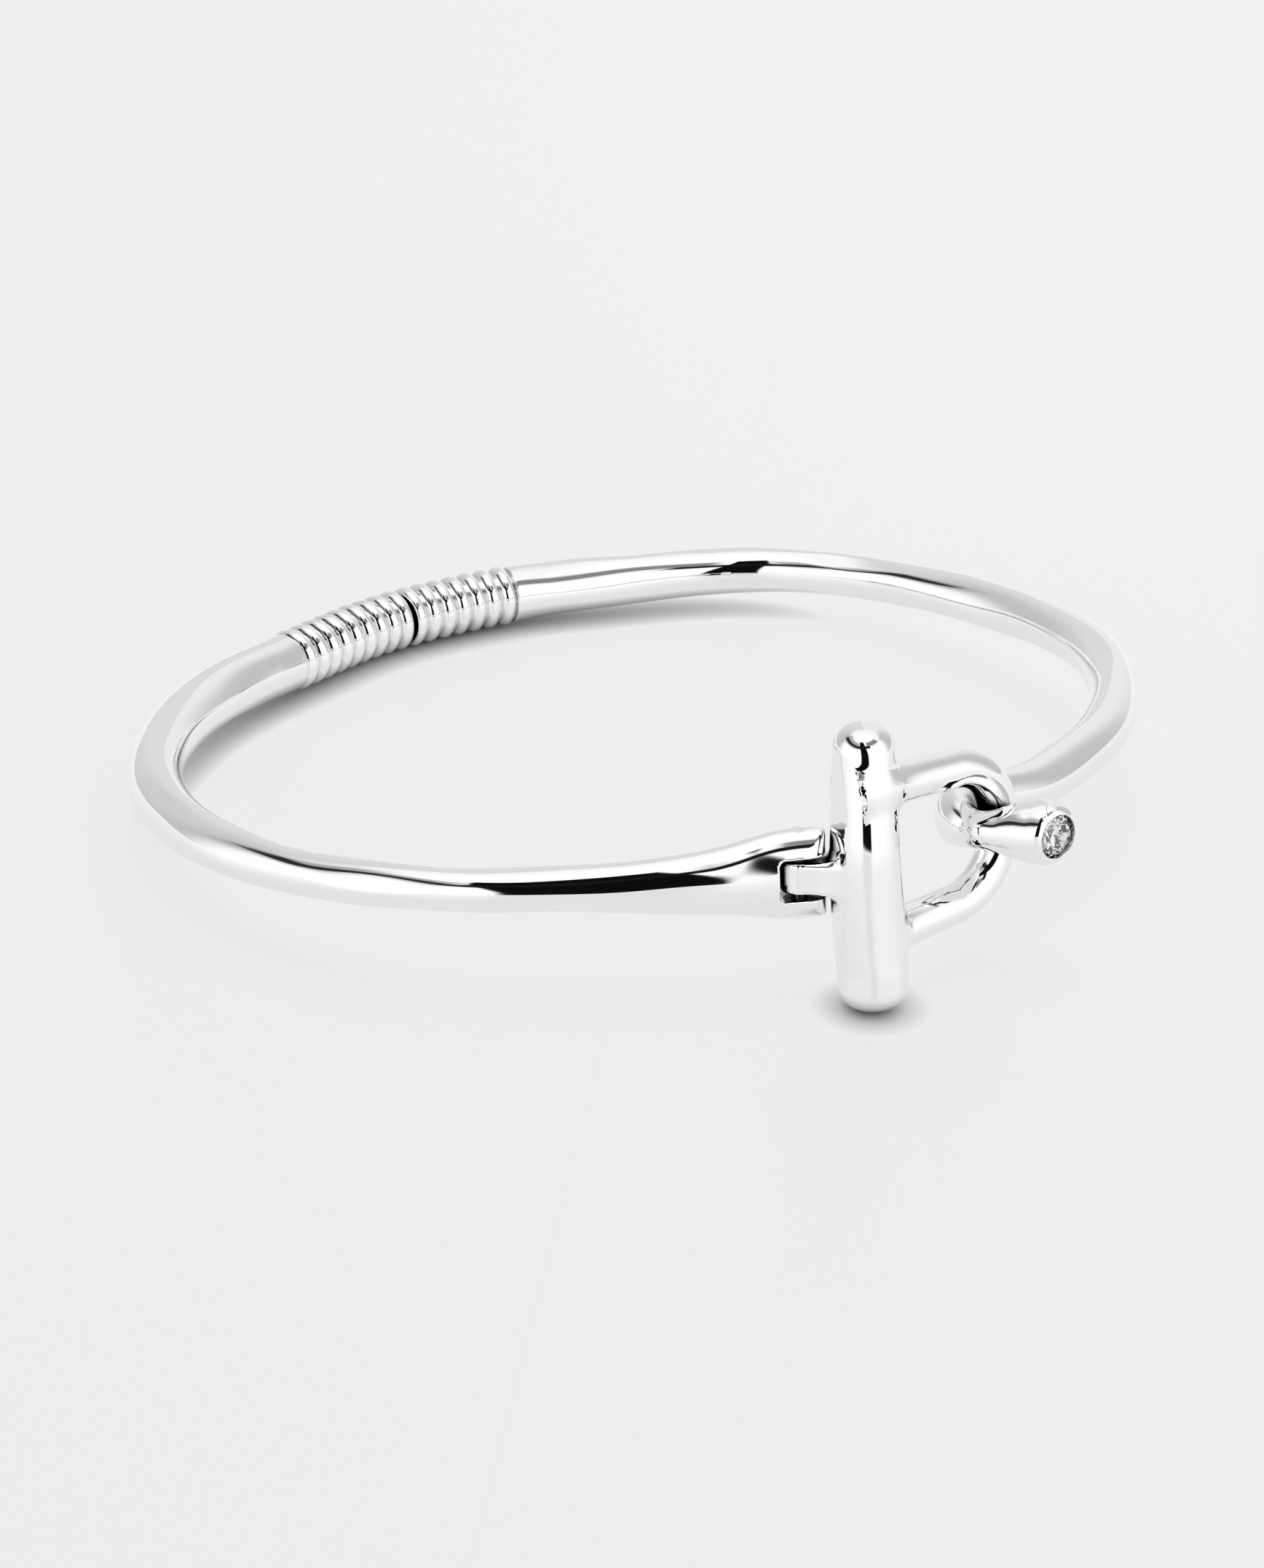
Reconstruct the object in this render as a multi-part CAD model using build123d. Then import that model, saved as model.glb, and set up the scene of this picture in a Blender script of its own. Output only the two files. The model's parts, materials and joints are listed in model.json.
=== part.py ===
"""Spring-hinged bangle bracelet with a T-bar and hook clasp, in millimetres.

Everything is modelled flat first: the bangle's oval lies in the XY plane with its centre at the
origin, the sprung joint at the back (+Y) and the clasp at the front (-Y). The whole bracelet is
then tipped onto the lower end of its T-bar and the underside of its ribbed back, as it rests.
"""

import os
from math import atan2, cos, degrees, radians, sin

from build123d import *

# ---- the oval ----
inner_width = 58.8          # side to side, inside the band
inner_depth = 49.4          # back to front, inside the band
band_radius = 1.55          # of the plain band at its sides

# ---- the ribbed ends and the sprung joint ----
rib_radius = 2.02           # outside of the ribs
rib_depth = 0.3             # how far the valleys lie below the tops
rib_pitch = 1.2
left_ribs = 9
right_ribs = 7
shoulder_radius = 1.85      # of the band where the ribs stop
joint_gap = 0.10            # between the two end faces
squeeze_angle = 5.0         # how far the halves can be squeezed, degrees
bevel_margin = 0.6          # spare angle in the bevel that allows it, degrees
spring_wire = 0.36
spring_pitch = 0.45         # from one turn to the next
spring_outer = 1.9          # outside diameter of the coil
spring_length = 5.6
spring_fit = 0.12           # between the coil and its bore, all round
anchor_length = 0.7
shoulder_run = 0.04         # share of an arm over which the shoulder meets the ribs
cutter = 12.0               # size of the blocks that trim the two end faces

# ---- the left arm's front and its fork ----
thin_radius = 1.25          # of the band at its thinnest
fork_height = 5.3
fork_depth = 3.0            # inside to outside of the bangle
ear_crown = 0.35            # how much lower the ears are at their tips
slot_height = 2.5
slot_corner = 0.4
slot_run_out = 6.0          # how far the slot's cutter goes past the pin
pin_diameter = 0.9
pin_inset = 0.05            # how far its ends lie below the ears

# ---- the toggle ----
tongue_thickness = 1.7
tongue_width = 2.3
tongue_end_gap = 0.2        # between the tongue's round end and the slot's back wall
pin_fit = 0.04              # running clearance in the tongue, all round
bar_forward = 3.52          # from the pin to the T-bar's axis, along the fork
bar_outward = 1.04          # and outwards from the fork's centre line
bar_length = 17.0
bar_radius = 1.95
bar_taper = 0.08            # its upper end is this much thinner
bar_rise = 0.45             # how far its middle is above the oval's plane
loop_reach = 10.1           # from the T-bar's axis to the centre of the loop's bow
loop_height = 9.1           # between its two limbs' centre lines, at the T-bar
loop_bow_height = 7.8       # the same, where the bow's bends start
loop_bend = 3.5             # radius of the bow's two bends
loop_wire = 2.2             # diameter

# ---- the hook and its stone ----
hook_fit = 0.12             # between the hook and the loop's bow
hook_thickness = 2.3        # of the bend, across the bangle
hook_ease = 0.2             # how much wider the bend starts than it ends
hook_height = 3.1           # of the bend, up and down
hook_rise = 0.8             # how far the hook is above the oval's plane
hook_tail_angle = -46.0     # direction that its tail points, degrees from +X
neck_radius = 1.15
ball_radius = 1.87
ball_reach = 2.8            # from the end of the bend to the ball's centre
stone_diameter = 2.5
stone_fit = 0.02
seat_offset = 1.12          # from the ball's centre to the rim round the stone
seat_depth = 1.65
stone_sink = 0.06           # of the stone's table below the rim
stone_sides = 16
crown_share, girdle_share, pavilion_share = 0.16, 0.03, 0.40       # of its diameter
crown_taper, pavilion_taper = 34, 48                               # degrees

# ---- worked out from the sizes above ----
half_width = inner_width / 2 + band_radius
half_depth = inner_depth / 2 + (band_radius + rib_radius) / 2
joint = Vector(0, half_depth, 0)
bore_radius = spring_outer / 2 + spring_fit
bore_depth = spring_length / 2 + anchor_length
tongue_end_radius = tongue_width / 2
slot_depth = tongue_end_radius + tongue_end_gap
ear_radius = fork_depth / 2

UP = Vector(0, 0, 1)


def oval_points(shares):
    """Points on the oval, given as shares of its half width and half depth."""
    return [Vector(x * half_width, y * half_depth, 0) for x, y in shares]


# The band is bent by hand, so the oval isn't a true ellipse and its halves differ.
LEFT_SHAPE = [(-0.310, -0.977), (-0.480, -0.868), (-0.687, -0.692), (-0.874, -0.475), (-0.987, -0.183),
              (-1.010, 0.099), (-0.945, 0.376), (-0.784, 0.643), (-0.542, 0.837), (-0.294, 0.932)]
RIGHT_SHAPE = [(0.300, 0.958), (0.526, 0.855), (0.740, 0.715), (0.890, 0.505), (0.960, 0.247),
               (0.985, -0.038), (0.945, -0.327), (0.819, -0.578), (0.613, -0.795), (0.416, -0.900),
               (0.274, -0.944)]

left_line = Spline(*oval_points(LEFT_SHAPE), joint, tangents=[Vector(-0.86, 0.51, 0), Vector(1, 0, 0)],
                   tangent_scalars=[1, 1])
pin_centre = left_line @ 0
fork_forward = -(left_line % 0)
fork_outward = fork_forward.cross(UP)

bar_centre = pin_centre + fork_forward * bar_forward + fork_outward * bar_outward
bow_centre = bar_centre + Vector(loop_reach, 0, 0)


def hook_point(angle, radius):
    """A point on the hook's bend, which is centred on the loop's bow."""
    turn = radians(angle)
    return Vector(bow_centre.X + radius * cos(turn), bow_centre.Y + radius * sin(turn), hook_rise)


hook_bend_radius = loop_wire / 2 + hook_fit + hook_thickness / 2
tail_direction = Vector(cos(radians(hook_tail_angle)), sin(radians(hook_tail_angle)), 0)
HOOK_START = 95.0                               # where the arm has come round behind the bow
HOOK_END = hook_tail_angle - 90.0 + 360.0       # where the bend runs into the tail
hook_start_radius = hook_bend_radius + hook_ease
tail_start = hook_point(HOOK_END, hook_bend_radius)
ball_centre = tail_start + tail_direction * ball_reach


# How far below a rib's top its surface lies, as shares of the rib's depth, from valley to valley.
RIB_FORM = [1.0, 0.40, 0.08, 0.0, 0.08, 0.40]

# Where the sections of the rounded ends stand, in degrees round the pin and round the ball.
EAR_ANGLES = (60, 30)
BALL_ANGLES = (-48, -20, 10, 40, 65)


def section(place, direction, half_height, half_depth_across):
    """An oval section of the band, standing across its line."""
    return Plane(origin=place, x_dir=UP, z_dir=direction) * Ellipse(half_height, half_depth_across)


def sections_along(line, sizes):
    """Sections of a band along a line, from (share of the line, half height, half depth)."""
    return [section(line @ t, line % t, tall, deep) for t, tall, deep in sizes]


def ribbed_end(line, count, towards_start):
    """The last stretch of a line at the joint, with rings cast round it."""
    sections = []
    for step in range(count * len(RIB_FORM) + 1):
        along = step / len(RIB_FORM) * rib_pitch / line.length
        t = along if towards_start else 1 - along
        radius = rib_radius - rib_depth * RIB_FORM[step % len(RIB_FORM)]
        sections.append(section(line @ t, line % t, radius, radius))
    return loft(sections, ruled=True)


def beyond_joint(side, bevel):
    """The space on one side of the joint, with its face turned by a bevel about the joint's axis."""
    block = Pos(side * (cutter / 2 - joint_gap / 2), 0, 0) * Box(cutter, cutter, cutter)
    return Pos(joint) * Rot(0, 0, bevel) * block


def spring_bore():
    """The blind bores for the spring in both arms' ribbed ends."""
    bore = Rot(0, 90, 0) * Cylinder(bore_radius, bore_depth * 2)
    return Pos(joint) * bore


def left_arm():
    valley = rib_radius - rib_depth
    ribbed = 1 - left_ribs * rib_pitch / left_line.length
    sizes = [(0, fork_height / 2, fork_depth / 2),
             (0.037, fork_height * 0.41, fork_depth * 0.49),
             (0.075, fork_height * 0.31, fork_depth * 0.46),
             (0.13, thin_radius * 1.12, thin_radius * 1.05),
             (0.22, thin_radius * 1.02, thin_radius),
             (0.40, thin_radius * 1.05, thin_radius * 1.02),
             (0.55, band_radius, band_radius),
             (0.70, band_radius * 1.10, band_radius * 1.10),
             (ribbed - shoulder_run, shoulder_radius, shoulder_radius),
             (ribbed, valley, valley)]
    arm = loft(fork_end() + sections_along(left_line, sizes))
    arm += ribbed_end(left_line, left_ribs, towards_start=False)
    arm -= beyond_joint(1, 0)
    arm -= spring_bore()
    arm -= fork_slot()
    arm -= Pos(pin_centre) * Cylinder(pin_diameter / 2, fork_height * 2)
    return arm


def fork_end():
    """Sections of the fork's ears beyond the pin, which follow a half circle about it."""
    sections = []
    for angle in EAR_ANGLES:
        forward, across = ear_radius * sin(radians(angle)), ear_radius * cos(radians(angle))
        tall = fork_height / 2 - ear_crown * (1 - cos(radians(angle)))
        sections.append(section(pin_centre + fork_forward * forward, -fork_forward, tall, across))
    return sections


def fork_slot():
    """The gap between the ears: a box with a rounded back, running through to the front."""
    gap = Box(slot_run_out + slot_depth, slot_run_out, slot_height)
    gap = fillet(gap.edges().filter_by(Axis.Y).group_by(Axis.X)[0], slot_corner)
    fork = Plane(origin=pin_centre, x_dir=fork_forward, z_dir=UP)
    return fork * Pos((slot_run_out - slot_depth) / 2, 0, 0) * gap


def bend_heading(angle):
    """The way the hook runs at an angle round its bend."""
    return Vector(-sin(radians(angle)), cos(radians(angle)), 0)


def right_line():
    """The right arm's line, from the joint round the oval to where the hook's bend starts."""
    return Spline(joint, *oval_points(RIGHT_SHAPE), hook_point(HOOK_START, hook_start_radius),
                  tangents=[Vector(1, 0, 0), bend_heading(HOOK_START)], tangent_scalars=[1, 1])


def right_arm():
    line = right_line()
    valley = rib_radius - rib_depth
    ribbed = right_ribs * rib_pitch / line.length
    sizes = [(ribbed, valley, valley),
             (ribbed + shoulder_run, shoulder_radius, shoulder_radius),
             (0.25, band_radius * 1.06, band_radius * 1.06),
             (0.40, band_radius * 0.97, band_radius * 0.97),
             (0.55, band_radius, band_radius),
             (0.70, band_radius * 1.03, band_radius * 1.03),
             (0.85, band_radius, band_radius),
             (0.93, band_radius * 0.95, band_radius * 0.95),
             (1, hook_height / 2, hook_thickness / 2)]
    arm = loft(sections_along(line, sizes))
    arm += hook()
    arm += ribbed_end(line, right_ribs, towards_start=True)
    arm -= beyond_joint(-1, 0)
    arm -= beyond_joint(-1, squeeze_angle + bevel_margin)
    arm -= spring_bore()
    arm -= stone_seat()
    return arm


def hook():
    """The bend round the loop's bow, the neck and the ball that holds the stone."""
    sections = []
    count = 6
    for number in range(count + 1):
        share = number / count
        angle = HOOK_START + share * (HOOK_END - HOOK_START)
        radius = hook_bend_radius + hook_ease * (1 - share) ** 2
        tall = hook_height / 2 + share * (neck_radius - hook_height / 2)
        sections.append(section(hook_point(angle, radius), bend_heading(angle), tall, hook_thickness / 2))
    for angle in BALL_ANGLES:
        across = ball_radius * cos(radians(angle))
        place = ball_centre + tail_direction * ball_radius * sin(radians(angle))
        sections.append(section(place, tail_direction, across, across))
    return loft(sections)


def seat_place():
    """At the rim round the stone, with +Z facing out of it."""
    return Plane(origin=ball_centre + Vector(0, -seat_offset, 0), x_dir=Vector(1, 0, 0),
                 z_dir=Vector(0, -1, 0))


def stone_seat():
    """The flat face cut on the ball and the cup in it."""
    radius = stone_diameter / 2 + stone_fit
    face = Pos(0, 0, ball_radius) * Cylinder(ball_radius * 1.2, ball_radius * 2)
    cup = Pos(0, 0, -seat_depth / 2) * Cylinder(radius, seat_depth)
    return seat_place() * (face + cup)


def stone():
    """A brilliant cut: crown, girdle and pavilion with sixteen sides."""
    crown, girdle, pavilion = (stone_diameter * share for share in (crown_share, girdle_share, pavilion_share))
    outline = RegularPolygon(stone_diameter / 2, stone_sides)
    top = extrude(Pos(0, 0, girdle / 2) * outline, crown, taper=crown_taper)
    middle = Pos(0, 0, -girdle / 2) * extrude(outline, girdle)
    bottom = extrude(Pos(0, 0, -girdle / 2) * outline, -pavilion, taper=pavilion_taper)
    return seat_place() * Pos(0, 0, -stone_sink - crown - girdle / 2) * (top + middle + bottom)


def clevis_pin():
    return Pos(pin_centre) * Cylinder(pin_diameter / 2, fork_height - 2 * pin_inset)


def toggle():
    """The tongue, the T-bar and the D-shaped loop, cast in one."""
    body = tongue() + t_bar() + loop()
    return body - Pos(pin_centre) * Cylinder(pin_diameter / 2 + pin_fit, fork_height)


def tongue():
    """A flat link from its round end on the pin to the T-bar."""
    length = (bar_centre - pin_centre).length
    turn = degrees(atan2(bar_centre.Y - pin_centre.Y, bar_centre.X - pin_centre.X))
    link = Pos(length / 2, 0, 0) * Box(length, tongue_width, tongue_thickness)
    link += Cylinder(tongue_end_radius, tongue_thickness)
    return Pos(pin_centre) * Rot(0, 0, turn) * link


def t_bar():
    """A round bar with domed ends, a little thinner at the top."""
    top, bottom = bar_length / 2, -bar_length / 2
    upper = bar_radius - bar_taper
    lower = bar_radius
    outline = Polyline((0, bottom), (0, top)) \
        + JernArc((0, top), (1, 0), upper, -90) \
        + Line((upper, top - upper), (lower, bottom + lower)) \
        + JernArc((lower, bottom + lower), (0, -1), lower, -90)
    profile = Plane.XZ * make_face(outline)
    return Pos(bar_centre + UP * bar_rise) * revolve(profile, Axis.Z)


def loop():
    """A D of round wire, standing on the T-bar."""
    high, bow = loop_height / 2, loop_bow_height / 2
    path = FilletPolyline((0, 0, high), (loop_reach, 0, bow), (loop_reach, 0, -bow), (0, 0, -high),
                          radius=loop_bend)
    wire = Plane(origin=path @ 0, z_dir=path % 0) * Circle(loop_wire / 2)
    return Pos(bar_centre + UP * bar_rise) * sweep(wire, path)


def hinge_spring():
    """A close-wound coil across the joint."""
    radius = (spring_outer - spring_wire) / 2
    length = spring_length - spring_wire
    path = Helix(spring_pitch, length, radius)
    coil = sweep(Plane(origin=path @ 0, z_dir=path % 0) * Circle(spring_wire / 2), path, is_frenet=True)
    return Pos(joint) * Rot(0, 90, 0) * Pos(0, 0, -length / 2) * coil


def spring_anchor(side):
    """The stud at the blind end of a bore."""
    stud = Rot(0, 90, 0) * Cylinder(bore_radius, anchor_length)
    return Pos(joint) * Pos(side * (bore_depth - anchor_length / 2), 0, 0) * stud


def rest_pose(parts):
    """Tips the bracelet onto its T-bar and its ribbed back, then stands its box on the origin."""
    bar_low = bar_length / 2 - bar_rise
    rear_low = rib_radius
    tip = Rot(-degrees(atan2(bar_low - rear_low, joint.Y - bar_centre.Y)), 0, 0)
    tipped = [tip * shape for shape in parts.values()]
    box = Compound(children=[Compound(shape.wrapped) for shape in tipped]).bounding_box()
    drop = Pos(-box.center().X, -box.center().Y, -box.min.Z)
    return drop * tip


parts = {
    "left_arm": left_arm(),
    "right_arm": right_arm(),
    "toggle": toggle(),
    "clevis_pin": clevis_pin(),
    "hinge_spring": hinge_spring(),
    "left_spring_anchor": spring_anchor(-1),
    "right_spring_anchor": spring_anchor(1),
    "stone": stone(),
}

placing = rest_pose(parts)
os.makedirs("parts", exist_ok=True)
for name, shape in parts.items():
    export_step(placing * shape, f"parts/{name}.step")
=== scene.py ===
"""Looks of the spring-hinged bangle bracelet: polished castings, a clear stone and a pale studio."""
import json
import math

import bmesh
import bpy
import numpy as np
from mathutils import Matrix, Vector


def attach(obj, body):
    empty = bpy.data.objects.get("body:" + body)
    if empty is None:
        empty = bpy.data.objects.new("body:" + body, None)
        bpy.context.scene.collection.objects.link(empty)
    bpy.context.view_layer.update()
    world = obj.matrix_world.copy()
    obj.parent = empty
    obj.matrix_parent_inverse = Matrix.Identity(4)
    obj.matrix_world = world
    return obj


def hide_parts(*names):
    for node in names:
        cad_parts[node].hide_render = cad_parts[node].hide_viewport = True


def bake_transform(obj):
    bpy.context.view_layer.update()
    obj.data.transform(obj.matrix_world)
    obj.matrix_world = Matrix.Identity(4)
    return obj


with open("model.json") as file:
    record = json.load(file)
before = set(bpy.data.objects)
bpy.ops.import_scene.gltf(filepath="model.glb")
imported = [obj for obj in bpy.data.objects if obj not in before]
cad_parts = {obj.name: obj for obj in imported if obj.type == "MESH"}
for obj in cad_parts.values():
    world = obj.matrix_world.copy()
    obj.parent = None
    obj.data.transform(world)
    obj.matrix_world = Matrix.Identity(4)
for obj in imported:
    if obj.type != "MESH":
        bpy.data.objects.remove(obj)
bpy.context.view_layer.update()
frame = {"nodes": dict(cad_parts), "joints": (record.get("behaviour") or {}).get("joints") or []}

# ---------------------------------------------------------------- sizes, in millimetres
MM = 0.001
HALF_WIDTH, HALF_DEPTH = 30.95, 26.485      # of the band's centre line
RIB_RADIUS, RIB_DEPTH, RIB_PITCH = 2.02, 0.34, 1.2
LEFT_RIBS, RIGHT_RIBS = 9, 7
JOINT_GAP = 0.10
BEVEL = math.radians(5.6)
BORE_RADIUS, BORE_DEPTH = 1.07, 3.5
SPRING_WIRE, SPRING_OUTER, SPRING_LENGTH = 0.36, 1.9, 5.6

FORK_DEPTH = 3.0
SLOT_HEIGHT, SLOT_BACK = 2.5, 1.35
TONGUE_THICKNESS, TONGUE_WIDTH = 1.9, 2.3
PIN_RADIUS = 0.49
BAR_FORWARD, BAR_OUTWARD = 3.52, 1.04
BAR_LENGTH, BAR_RISE = 17.0, 0.45
BAR_THICK, BAR_TAPER = 2.0, 0.045           # radius low down, and how fast it shrinks above the knee
BAR_KNEE, BAR_LEAN = 1.0, 0.15              # where the front starts to lean back, and how steeply
BAR_TOP_CAP, BAR_FOOT_CAP = 1.88, 1.55      # how far from its ends the rounding starts
LOOP_REACH, LOOP_HEIGHT, LOOP_BOW_HEIGHT = 10.1, 9.1, 7.8
LOOP_BEND, LOOP_RADIUS = 3.5, 1.1

HOOK_FIT, HOOK_THICKNESS = 0.12, 2.3
HOOK_RISE, HOOK_EASE = 0.8, 0.2
HOOK_START, TAIL_ANGLE = 95.0, -46.0
BALL_RADIUS, BALL_REACH = 1.87, 2.8
STONE_RADIUS, SEAT_OFFSET, SEAT_DEPTH, STONE_SINK = 1.25, 1.12, 1.65, 0.06

# The hand-bent oval, as shares of its half width and half depth, from the clasp to the joint and back.
LEFT_SHAPE = [(-0.310, -0.977), (-0.480, -0.868), (-0.687, -0.692), (-0.874, -0.475), (-0.987, -0.183),
              (-1.010, 0.099), (-0.945, 0.376), (-0.784, 0.643), (-0.542, 0.837), (-0.294, 0.932)]
RIGHT_SHAPE = [(0.300, 0.958), (0.526, 0.855), (0.740, 0.715), (0.890, 0.505), (0.960, 0.247),
               (0.985, -0.038), (0.945, -0.327), (0.819, -0.578), (0.613, -0.795), (0.416, -0.900),
               (0.274, -0.944)]

# ---------------------------------------------------------------- the bangle's own plane
joints = {joint["name"]: joint for joint in frame["joints"]}
ring_up = Vector(joints["spring_hinge"]["axis"]).normalized()
ring_back = ring_up.cross(Vector((1, 0, 0))).normalized()
ring_centre = Vector(joints["spring_hinge"]["pos_m"]) - ring_back * HALF_DEPTH * MM
RING = Matrix.Translation(ring_centre) @ Matrix(
    ((1, ring_back.x, ring_up.x), (0, ring_back.y, ring_up.y), (0, ring_back.z, ring_up.z))).to_4x4()
RING_AXES = np.array(RING.to_3x3())
RING_ORIGIN = np.array(RING.translation)


def in_row(points):
    """Points in the bangle's plane frame, in millimetres, moved to the row frame in metres."""
    return (points * MM) @ RING_AXES.T + RING_ORIGIN


# ---------------------------------------------------------------- lines
def cubic(knots, values, first, last):
    """A cubic spline through values at knots, with given end slopes, as a function."""
    count = len(knots)
    span = np.diff(knots)
    matrix = np.zeros((count, count))
    right = np.zeros((count, values.shape[1]))
    matrix[0, 0] = matrix[-1, -1] = 1
    right[0], right[-1] = first, last
    for i in range(1, count - 1):
        matrix[i, i - 1:i + 2] = span[i], 2 * (span[i - 1] + span[i]), span[i - 1]
        right[i] = 3 * (span[i] * (values[i] - values[i - 1]) / span[i - 1]
                        + span[i - 1] * (values[i + 1] - values[i]) / span[i])
    slope = np.linalg.solve(matrix, right)

    def at(t):
        i = np.clip(np.searchsorted(knots, t) - 1, 0, count - 2)
        h = span[i][:, None]
        u = ((t - knots[i]) / span[i])[:, None]
        return ((1 + 2 * u) * (1 - u) ** 2 * values[i] + u * (1 - u) ** 2 * h * slope[i]
                + u * u * (3 - 2 * u) * values[i + 1] + u * u * (u - 1) * h * slope[i + 1])
    return at


def spline_points(points, first, last, count=1500):
    """Close points along a smooth curve through a few."""
    points = np.array(points, float)
    knots = np.concatenate([[0], np.cumsum(np.linalg.norm(np.diff(points, axis=0), axis=1))])
    return cubic(knots, points, np.array(first, float), np.array(last, float))(
        np.linspace(0, knots[-1], count))


class Line:
    """A curve measured along its own length, with its direction and its outward side."""

    def __init__(self, points):
        self.points = points
        self.along = np.concatenate([[0], np.cumsum(np.linalg.norm(np.diff(points, axis=0), axis=1))])
        self.length = self.along[-1]

    def at(self, s):
        return np.stack([np.interp(s, self.along, self.points[:, k]) for k in range(3)], axis=1)

    def frame(self, s):
        """Place, direction and side at lengths s. The side lies in the bangle's plane."""
        step = 0.15
        before, here, after = self.at(s - step), self.at(s), self.at(s + step)
        inside_before = (s - step < 0)[:, None]
        inside_after = (s + step > self.length)[:, None]
        before = np.where(inside_before, here, before)
        after = np.where(inside_after, here, after)
        ahead = after - before
        ahead[:, 2] = 0
        ahead /= np.linalg.norm(ahead, axis=1)[:, None]
        side = np.stack([ahead[:, 1], -ahead[:, 0], np.zeros(len(s))], axis=1)
        return here, ahead, side


def oval(shape):
    return [(x * HALF_WIDTH, y * HALF_DEPTH, 0) for x, y in shape]


JOINT = (0, HALF_DEPTH, 0)
pin = np.array(oval(LEFT_SHAPE)[0], float)
fork_forward = np.array((0.86, -0.51, 0)) / math.hypot(0.86, 0.51)
fork_outward = np.array((fork_forward[1], -fork_forward[0], 0))
bar = pin + fork_forward * BAR_FORWARD + fork_outward * BAR_OUTWARD
bow = bar + np.array((LOOP_REACH, 0, 0))
bend_radius = LOOP_RADIUS + HOOK_FIT + HOOK_THICKNESS / 2
hook_end = TAIL_ANGLE - 90 + 360
tail = np.array((math.cos(math.radians(TAIL_ANGLE)), math.sin(math.radians(TAIL_ANGLE)), 0))


def hook_point(angle, radius):
    turn = math.radians(angle)
    return np.array((bow[0] + radius * math.cos(turn), bow[1] + radius * math.sin(turn), HOOK_RISE))


ball = hook_point(hook_end, bend_radius) + tail * BALL_REACH


def left_line():
    """From beyond the fork's tips, round the left side, to the joint."""
    lead = 3.0
    start = pin + fork_forward * lead
    curve = spline_points(oval(LEFT_SHAPE) + [JOINT], (-0.86, 0.51, 0), (1, 0, 0))
    straight = np.linspace(start, pin, 60)[:-1]
    return Line(np.concatenate([straight, curve])), lead


def right_line():
    """From the joint round the right side, round the hook's bend and along its tail."""
    turn = math.radians(HOOK_START)
    start_radius = bend_radius + HOOK_EASE
    curve = spline_points([JOINT] + oval(RIGHT_SHAPE) + [hook_point(HOOK_START, start_radius)], (1, 0, 0),
                          (-math.sin(turn), math.cos(turn), 0))
    bend = []
    for share in np.linspace(0, 1, 160)[1:]:
        angle = HOOK_START + share * (hook_end - HOOK_START)
        bend.append(hook_point(angle, bend_radius + HOOK_EASE * (1 - share) ** 2))
    end = bend[-1]
    run = np.linspace(end, end + tail * (BALL_REACH + BALL_RADIUS + 1.0), 120)[1:]
    return Line(np.concatenate([curve, bend, run])), Line(curve).length, Line(np.array(bend)).length


# ---------------------------------------------------------------- solid shapes as distance fields
def blend_in(a, b, soft):
    """Union of two fields with a fillet of about this radius."""
    h = np.clip(0.5 + 0.5 * (b - a) / soft, 0, 1)
    return b + (a - b) * h - soft * h * (1 - h)


def cut_out(a, b, soft):
    """Field a with field b taken away, its edges rounded."""
    return -blend_in(-a, b, soft)


def ellipse_field(n, z, half_n, half_z):
    """About the distance from an ellipse's outline."""
    k = np.sqrt((n / half_n) ** 2 + (z / half_z) ** 2) + 1e-6
    g = np.sqrt((n / half_n ** 2) ** 2 + (z / half_z ** 2) ** 2) + 1e-6
    return k * (k - 1) / g


def box_field(x, y, z, half, corner):
    """Distance from a box with rounded edges."""
    q = [np.abs(v) - (h - corner) for v, h in zip((x, y, z), half)]
    outside = np.sqrt(sum(np.maximum(v, 0) ** 2 for v in q))
    return outside + np.minimum(np.maximum(np.maximum(q[0], q[1]), q[2]), 0) - corner


def profile(s, table):
    """A smooth size along a length, from (length, size) pairs."""
    knots = np.array([row[0] for row in table], float)
    values = np.array([row[1] for row in table], float)[:, None]
    flat = np.clip(np.asarray(s, float).ravel(), knots[0], knots[-1])
    return cubic(knots, values, 0.0, 0.0)(flat)[:, 0].reshape(np.shape(s))


def ripple(s, angle, amount, seed):
    """Slow unevenness of a surface shaped by hand, over its length and round it."""
    draw = np.random.default_rng(seed)
    total = 0
    for k in range(7):
        wave = draw.uniform(8.0, 26.0)
        turns = draw.integers(1, 4)
        total = total + np.sin(2 * math.pi * s / wave + turns * angle + draw.uniform(0, 6.28))
    return amount * total / 7


def filed(body, s, n, z, deep, tall, flats):
    """Long shallow flats left by hand filing: (middle, length, degrees round from the inside, depth)."""
    for middle, length, angle, depth in flats:
        turn = math.radians(angle)
        fade = np.clip(1 - np.abs(s - middle) / length, 0, 1)
        fade = fade * fade * (3 - 2 * fade)
        surface = np.hypot(deep * math.cos(turn), tall * math.sin(turn))
        face = n * math.cos(turn) + z * math.sin(turn) - surface + depth * fade - 0.2 * (1 - fade)
        body = -blend_in(-body, -face, 0.10)
    return body


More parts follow.
